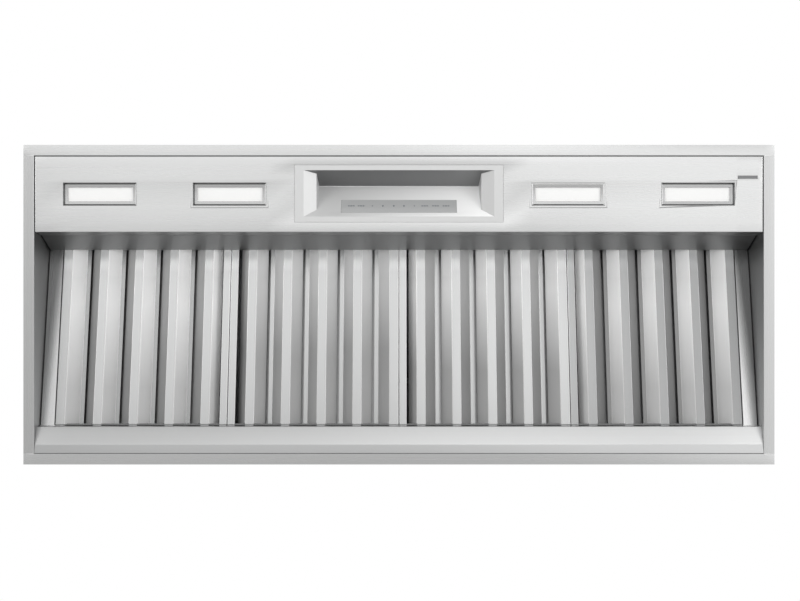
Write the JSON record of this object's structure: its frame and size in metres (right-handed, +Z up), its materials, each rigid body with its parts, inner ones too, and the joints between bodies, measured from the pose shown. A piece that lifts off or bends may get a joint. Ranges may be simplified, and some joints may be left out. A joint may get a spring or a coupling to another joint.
{
  "type": "range hood insert",
  "caption": "Wide sheet steel hood insert with bar lights, a sunk touch control, baffle filters, a twin blower and a round duct collar, hung by its flange.",
  "frame": {"origin": "middle of the flange's underside, the lowest plane of the insert", "axes": "+X to the right along the insert, -Y towards the cook, +Z up towards the duct"},
  "size_m": [1.33, 0.566, 0.39],
  "materials": {
    "body_steel": "brushed along the length",
    "cavity_steel": "bright, fine brush",
    "baffle_steel": "brushed along the baffles",
    "bezel_steel": "satin",
    "galvanised": "galvanised",
    "spring_steel": "plain",
    "sink_aluminium": "extruded",
    "lens_white": "frosted",
    "control_glass": "gloss",
    "circuit_board": "matte",
    "motor_paint": "satin",
    "grey_plastic": "matte"
  },
  "bodies": {
    "root": {"front_wall": "body_steel", "rear_wall": "body_steel", "left_wall": "body_steel", "right_wall": "body_steel", "top_panel": "galvanised", "front_panel": "body_steel", "badge_plate": "grey_plastic", "light_1_bezel": "bezel_steel", "light_1_lens": "lens_white", "light_1_module": "sink_aluminium", "light_2_bezel": "bezel_steel", "light_2_lens": "lens_white", "light_2_module": "sink_aluminium", "light_3_bezel": "bezel_steel", "light_3_lens": "lens_white", "light_3_module": "sink_aluminium", "light_4_bezel": "bezel_steel", "light_4_lens": "lens_white", "light_4_module": "sink_aluminium", "control_bezel": "bezel_steel", "control_glass": "control_glass", "control_board": "circuit_board", "cavity_front_wall": "cavity_steel", "rear_rail": "body_steel", "filter_rest": "body_steel", "left_filler": "cavity_steel", "right_filler": "cavity_steel", "blower_scroll_left": "galvanised", "blower_scroll_right": "galvanised", "blower_motor": "motor_paint", "motor_bracket": "galvanised", "discharge_box": "galvanised", "duct_collar": "galvanised", "damper_rod": "spring_steel", "junction_box": "galvanised", "junction_box_cover": "galvanised", "cable_clamp": "spring_steel", "wiring_conduit": "grey_plastic", "led_driver": "grey_plastic"},
    "rotor": {"blower_wheel_left": "galvanised", "blower_wheel_right": "galvanised", "motor_shaft": "spring_steel"},
    "flap_front": {"damper_flap_front": "galvanised"},
    "flap_rear": {"damper_flap_rear": "galvanised"},
    "spring_1": {"filter_1_spring": "spring_steel"},
    "spring_2": {"filter_2_spring": "spring_steel"},
    "spring_3": {"filter_3_spring": "spring_steel"},
    "spring_4": {"filter_4_spring": "spring_steel"},
    "filter_1": {"filter_1_frame": "baffle_steel", "filter_1_lower_baffles": "baffle_steel", "filter_1_upper_baffles": "baffle_steel"},
    "filter_2": {"filter_2_frame": "baffle_steel", "filter_2_lower_baffles": "baffle_steel", "filter_2_upper_baffles": "baffle_steel"},
    "filter_3": {"filter_3_frame": "baffle_steel", "filter_3_lower_baffles": "baffle_steel", "filter_3_upper_baffles": "baffle_steel"},
    "filter_4": {"filter_4_frame": "baffle_steel", "filter_4_lower_baffles": "baffle_steel", "filter_4_upper_baffles": "baffle_steel"}
  },
  "joints": [
    {"name": "rotor_spin", "type": "hinge", "parent": "root", "child": "rotor", "pos_m": [0, 0.11, 0.19693], "axis": [1, 0, 0], "continuous": true},
    {"name": "flap_front_hinge", "type": "hinge", "parent": "root", "child": "flap_front", "pos_m": [0, 0.077, 0.35503], "axis": [-1, 0, 0], "range_deg": [0, 80]},
    {"name": "flap_rear_hinge", "type": "hinge", "parent": "root", "child": "flap_rear", "pos_m": [0, 0.077, 0.35503], "axis": [1, 0, 0], "range_deg": [0, 80]},
    {"name": "filter_1_push", "type": "slide", "parent": "root", "child": "spring_1", "axis": [0, -0.9797, 0.2006], "range_m": [0, 0.016], "stiffness_N_per_m": 1200, "springref_m": -0.008},
    {"name": "filter_2_push", "type": "slide", "parent": "root", "child": "spring_2", "axis": [0, -0.9797, 0.2006], "range_m": [0, 0.016], "stiffness_N_per_m": 1200, "springref_m": -0.008},
    {"name": "filter_3_push", "type": "slide", "parent": "root", "child": "spring_3", "axis": [0, -0.9797, 0.2006], "range_m": [0, 0.016], "stiffness_N_per_m": 1200, "springref_m": -0.008},
    {"name": "filter_4_push", "type": "slide", "parent": "root", "child": "spring_4", "axis": [0, -0.9797, 0.2006], "range_m": [0, 0.016], "stiffness_N_per_m": 1200, "springref_m": -0.008},
    {"name": "filter_1_swing", "type": "hinge", "parent": "spring_1", "child": "filter_1", "pos_m": [-0.4644, -0.08482, 0.09879], "axis": [-1, 0, 0], "range_deg": [0, 60]},
    {"name": "filter_2_swing", "type": "hinge", "parent": "spring_2", "child": "filter_2", "pos_m": [-0.1548, -0.08482, 0.09879], "axis": [-1, 0, 0], "range_deg": [0, 60]},
    {"name": "filter_3_swing", "type": "hinge", "parent": "spring_3", "child": "filter_3", "pos_m": [0.1548, -0.08482, 0.09879], "axis": [-1, 0, 0], "range_deg": [0, 60]},
    {"name": "filter_4_swing", "type": "hinge", "parent": "spring_4", "child": "filter_4", "pos_m": [0.4644, -0.08482, 0.09879], "axis": [-1, 0, 0], "range_deg": [0, 60]}
  ]
}
